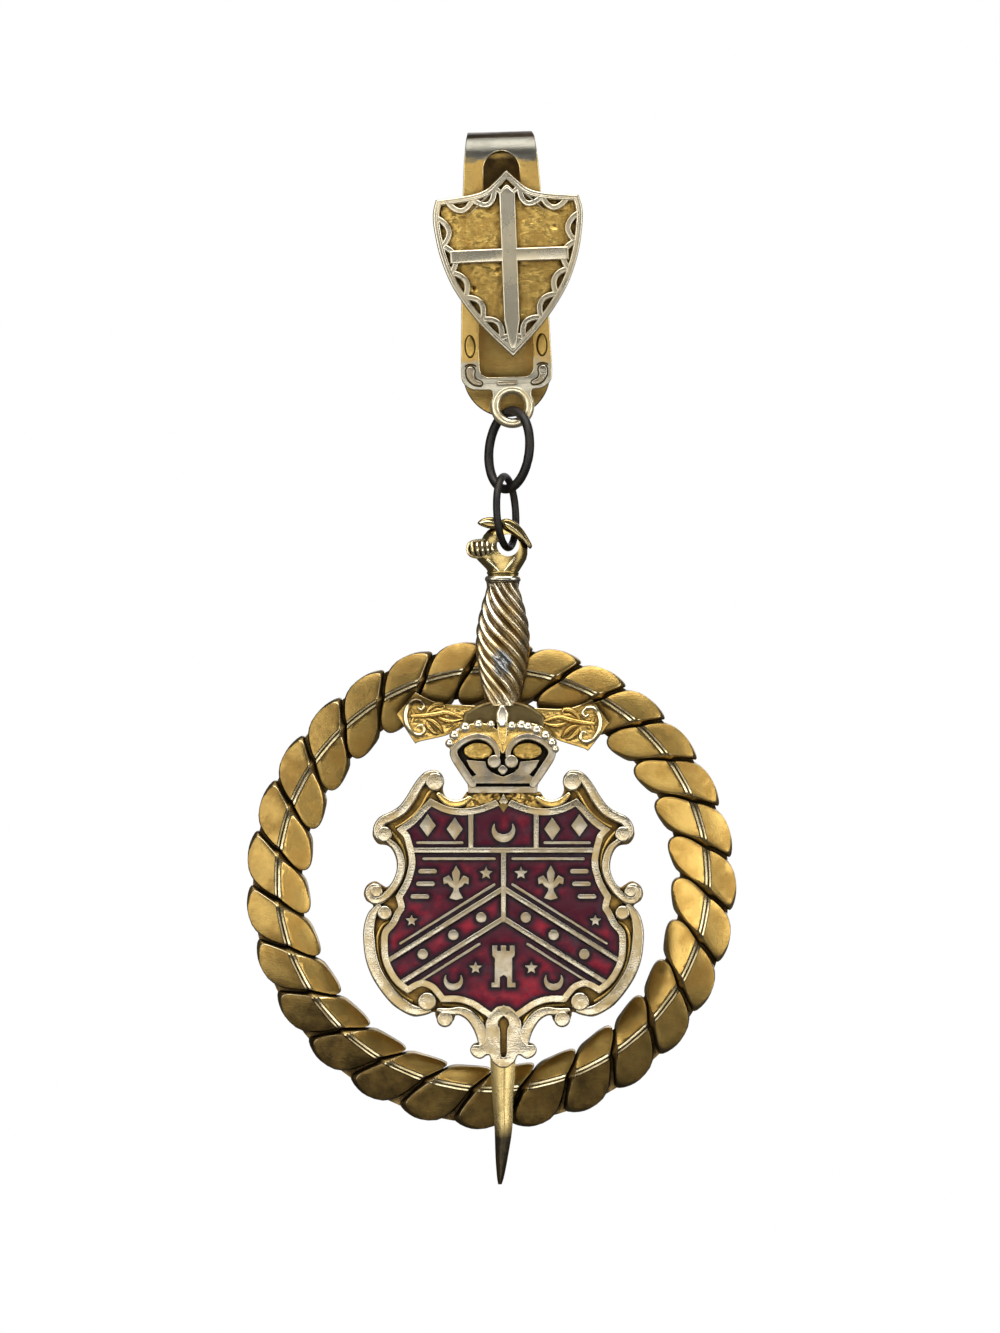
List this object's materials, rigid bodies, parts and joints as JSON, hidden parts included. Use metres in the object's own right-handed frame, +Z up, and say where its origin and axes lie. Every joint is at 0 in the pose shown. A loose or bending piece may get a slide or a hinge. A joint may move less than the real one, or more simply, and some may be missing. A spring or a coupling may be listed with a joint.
{
  "type": "enamel medal badge",
  "caption": "Ceremonial badge that clips over a cloth edge: a sword hangs on wire links before a rope ring and carries a crowned shield of red enamel.",
  "frame": {"origin": "Where a cloth edge sits under the clip's fold, between the front and the back leaf.", "axes": "+Z up the hanging badge, +X to the right as seen from the front, and the front faces -Y."},
  "size_m": [0.052, 0.0084, 0.111],
  "materials": {
    "old_gilt": "worn gilding over brass, dark in the hollows",
    "silver_gilt": "worn silvered and gilt brass",
    "blackened_steel": "blackened wire, dull",
    "red_enamel": "deep crimson glass enamel, glossy"
  },
  "bodies": {
    "clip": {"clip_spring": "old_gilt", "clip_shield": "silver_gilt", "link_upper": "blackened_steel", "link_lower": "blackened_steel"},
    "medal": {"sword": "silver_gilt", "rope_ring": "old_gilt", "crowned_shield": "silver_gilt", "enamel_chief_left": "red_enamel", "enamel_chief_middle": "red_enamel", "enamel_chief_right": "red_enamel", "enamel_field_left": "red_enamel", "enamel_field_right": "red_enamel", "enamel_chevron_left": "red_enamel", "enamel_chevron_right": "red_enamel", "enamel_base": "red_enamel"}
  },
  "joints": [
    {"name": "medal_swing", "type": "hinge", "parent": "clip", "child": "medal", "pos_m": [0.0008, -0.0023, -0.04285], "axis": [0, 1, 0], "range_deg": [-90, 90]}
  ]
}
